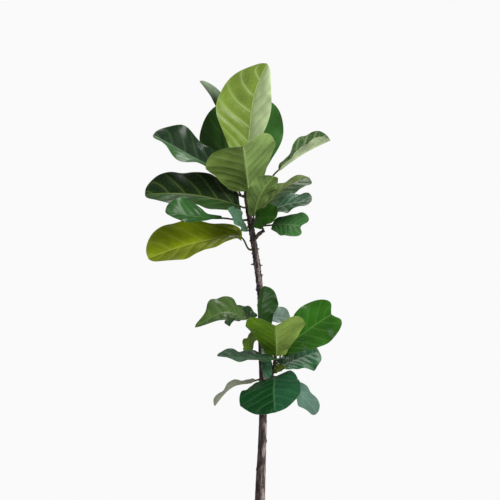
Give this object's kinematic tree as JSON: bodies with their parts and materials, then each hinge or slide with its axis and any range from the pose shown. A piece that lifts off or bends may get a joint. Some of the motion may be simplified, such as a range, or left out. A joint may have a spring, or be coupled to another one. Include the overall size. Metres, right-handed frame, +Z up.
{
  "type": "potted fiddle leaf fig",
  "caption": "A slim fiddle leaf fig standing in a plain tapered planter of soil: a bare trunk, a dense leafy crown and a lower tier of broad leaves on a short side shoot",
  "frame": {"origin": "the middle of the planter's flat base, on the floor, with the trunk's foot straight above it", "axes": "+Z up along the trunk; -Y is the fig's front, the side seen in the main view; +X is to the right seen from the front"},
  "size_m": [0.6225, 0.4283, 1.7637],
  "materials": {
    "pot_ceramic": "matte",
    "soil": "matte",
    "bark": "matte",
    "bud_sheath": "satin",
    "leaf_young": "satin",
    "leaf_yellow_green": "satin",
    "leaf_bright": "satin",
    "leaf_deep": "satin"
  },
  "bodies": {
    "root": {"pot": "pot_ceramic", "potting_soil": "soil", "trunk": "bark", "terminal_bud": "bud_sheath", "crown_leaf_01": "leaf_young", "crown_leaf_02": "leaf_young", "crown_leaf_03": "leaf_deep", "crown_leaf_04": "leaf_deep", "crown_leaf_05": "leaf_deep", "crown_leaf_06": "leaf_deep", "crown_leaf_07": "leaf_deep", "crown_leaf_08": "leaf_deep", "crown_leaf_09": "leaf_deep", "crown_leaf_10": "leaf_yellow_green", "crown_leaf_11": "leaf_bright", "crown_leaf_12": "leaf_young", "crown_leaf_13": "leaf_deep", "crown_leaf_14": "leaf_deep", "crown_leaf_15": "leaf_deep", "crown_leaf_16": "leaf_deep", "lower_leaf_01": "leaf_bright", "lower_leaf_02": "leaf_deep", "lower_leaf_03": "leaf_deep", "lower_leaf_04": "leaf_young", "lower_leaf_05": "leaf_bright", "lower_leaf_06": "leaf_deep", "lower_leaf_07": "leaf_yellow_green", "lower_leaf_08": "leaf_deep", "lower_leaf_09": "leaf_yellow_green", "lower_leaf_10": "leaf_deep", "lower_leaf_11": "leaf_deep", "lower_leaf_12": "leaf_deep", "lower_leaf_13": "leaf_deep", "lower_leaf_14": "leaf_deep"}
  },
  "joints": []
}
